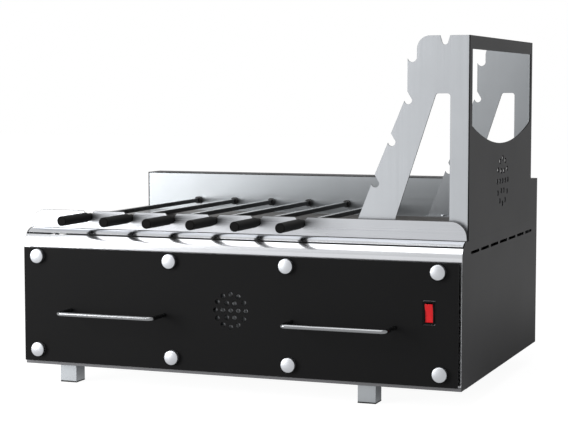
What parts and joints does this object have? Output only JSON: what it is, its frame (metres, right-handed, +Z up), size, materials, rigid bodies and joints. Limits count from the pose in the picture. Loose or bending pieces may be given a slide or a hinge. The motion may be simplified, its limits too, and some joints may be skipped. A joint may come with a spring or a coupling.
{
  "type": "charcoal rotisserie grill",
  "caption": "Tabletop charcoal grill with motor-turned skewers over a firebox, a wide ash drawer below and a hooked spit tower at one end.",
  "frame": {"origin": "on the ground, under the middle of the whole grill's outer box", "axes": "+X to the right along the front, +Y from the front to the back, +Z up"},
  "size_m": [0.8, 0.642, 0.612],
  "materials": {
    "stainless": "brushed",
    "grate_steel": "mill",
    "galvanised": "zinc coated",
    "panel_paint": "matt powder coat",
    "fascia_paint": "satin powder coat",
    "polished_steel": "polished",
    "red_plastic": "gloss",
    "black_plastic": "matt",
    "black_steel": "black oxide",
    "rod_steel": "drawn",
    "gear_steel": "machined",
    "bronze": "turned",
    "motor_metal": "satin",
    "lead_rubber": "matt"
  },
  "bodies": {
    "carcass": {"front_shell": "stainless", "deck": "stainless", "front_upstand": "stainless", "left_side_panel": "panel_paint", "right_side_panel": "panel_paint", "bottom_panel": "galvanised", "backsplash": "stainless", "rear_cover": "panel_paint", "housing_cap": "panel_paint", "firebox": "stainless", "charcoal_grate": "grate_steel", "drawer_runners": "galvanised", "tower_front_plate": "stainless", "tower_rear_plate": "stainless", "tower_side_plate": "panel_paint", "panel_screws": "polished_steel", "foot_tubes": "stainless", "foot_plugs": "black_plastic", "switch_bracket": "stainless", "switch_body": "black_plastic", "gear_plate": "galvanised", "spindle_bushes": "bronze", "motor_gearbox": "motor_metal", "motor": "motor_metal", "power_inlet": "black_plastic", "wiring_loom": "lead_rubber"},
    "ash_drawer": {"fascia": "fascia_paint", "drawer_front": "stainless", "drawer_tray": "galvanised", "drawer_rails": "galvanised", "handle_left": "polished_steel", "handle_right": "polished_steel", "fascia_studs": "polished_steel", "stud_spacers": "polished_steel"},
    "switch_rocker": {"rocker": "red_plastic"},
    "motor_drive": {"motor_pinion": "gear_steel"},
    "spindle_1": {"drive_gear_1": "gear_steel", "spit_socket_1": "black_steel"},
    "skewer_1": {"skewer_rod_1": "rod_steel", "skewer_grip_1": "black_plastic"},
    "spindle_2": {"drive_gear_2": "gear_steel", "spit_socket_2": "black_steel"},
    "skewer_2": {"skewer_rod_2": "rod_steel", "skewer_grip_2": "black_plastic"},
    "spindle_3": {"drive_gear_3": "gear_steel", "spit_socket_3": "black_steel"},
    "skewer_3": {"skewer_rod_3": "rod_steel", "skewer_grip_3": "black_plastic"},
    "spindle_4": {"drive_gear_4": "gear_steel", "spit_socket_4": "black_steel"},
    "skewer_4": {"skewer_rod_4": "rod_steel", "skewer_grip_4": "black_plastic"},
    "spindle_5": {"drive_gear_5": "gear_steel", "spit_socket_5": "black_steel"},
    "skewer_5": {"skewer_rod_5": "rod_steel", "skewer_grip_5": "black_plastic"},
    "spindle_6": {"drive_gear_6": "gear_steel", "spit_socket_6": "black_steel"},
    "skewer_6": {"skewer_rod_6": "rod_steel", "skewer_grip_6": "black_plastic"}
  },
  "joints": [
    {"name": "drawer_slide", "type": "slide", "parent": "carcass", "child": "ash_drawer", "axis": [0, -1, 0], "range_m": [0, 0.38]},
    {"name": "rocker_tilt", "type": "hinge", "parent": "carcass", "child": "switch_rocker", "pos_m": [0.3475, -0.2524, 0.1645], "axis": [-1, 0, 0], "range_deg": [0, 16]},
    {"name": "spindle_1_spin", "type": "hinge", "parent": "carcass", "child": "spindle_1", "pos_m": [-0.286, 0.2731, 0.3], "axis": [0, 1, 0], "continuous": true},
    {"name": "skewer_1_pull", "type": "slide", "parent": "spindle_1", "child": "skewer_1", "axis": [0, -1, 0], "range_m": [0, 0.56]},
    {"name": "spindle_2_spin", "type": "hinge", "parent": "carcass", "child": "spindle_2", "pos_m": [-0.206, 0.2731, 0.3], "axis": [0, 1, 0], "continuous": true},
    {"name": "skewer_2_pull", "type": "slide", "parent": "spindle_2", "child": "skewer_2", "axis": [0, -1, 0], "range_m": [0, 0.56]},
    {"name": "spindle_3_spin", "type": "hinge", "parent": "carcass", "child": "spindle_3", "pos_m": [-0.126, 0.2731, 0.3], "axis": [0, 1, 0], "continuous": true},
    {"name": "skewer_3_pull", "type": "slide", "parent": "spindle_3", "child": "skewer_3", "axis": [0, -1, 0], "range_m": [0, 0.56]},
    {"name": "spindle_4_spin", "type": "hinge", "parent": "carcass", "child": "spindle_4", "pos_m": [-0.046, 0.2731, 0.3], "axis": [0, 1, 0], "continuous": true},
    {"name": "skewer_4_pull", "type": "slide", "parent": "spindle_4", "child": "skewer_4", "axis": [0, -1, 0], "range_m": [0, 0.56]},
    {"name": "spindle_5_spin", "type": "hinge", "parent": "carcass", "child": "spindle_5", "pos_m": [0.034, 0.2731, 0.3], "axis": [0, 1, 0], "continuous": true},
    {"name": "skewer_5_pull", "type": "slide", "parent": "spindle_5", "child": "skewer_5", "axis": [0, -1, 0], "range_m": [0, 0.56]},
    {"name": "spindle_6_spin", "type": "hinge", "parent": "carcass", "child": "spindle_6", "pos_m": [0.114, 0.2731, 0.3], "axis": [0, 1, 0], "continuous": true},
    {"name": "skewer_6_pull", "type": "slide", "parent": "spindle_6", "child": "skewer_6", "axis": [0, -1, 0], "range_m": [0, 0.56]},
    {"name": "motor_spin", "type": "hinge", "parent": "carcass", "child": "motor_drive", "pos_m": [0.174, 0.2731, 0.3], "axis": [0, 1, 0], "continuous": true}
  ],
  "couplings": [
    {"joint": "spindle_2_spin", "follows": "spindle_1_spin", "ratio": -1},
    {"joint": "spindle_3_spin", "follows": "spindle_1_spin", "ratio": 1},
    {"joint": "spindle_4_spin", "follows": "spindle_1_spin", "ratio": -1},
    {"joint": "spindle_5_spin", "follows": "spindle_1_spin", "ratio": 1},
    {"joint": "spindle_6_spin", "follows": "spindle_1_spin", "ratio": -1},
    {"joint": "motor_spin", "follows": "spindle_1_spin", "ratio": 2}
  ]
}
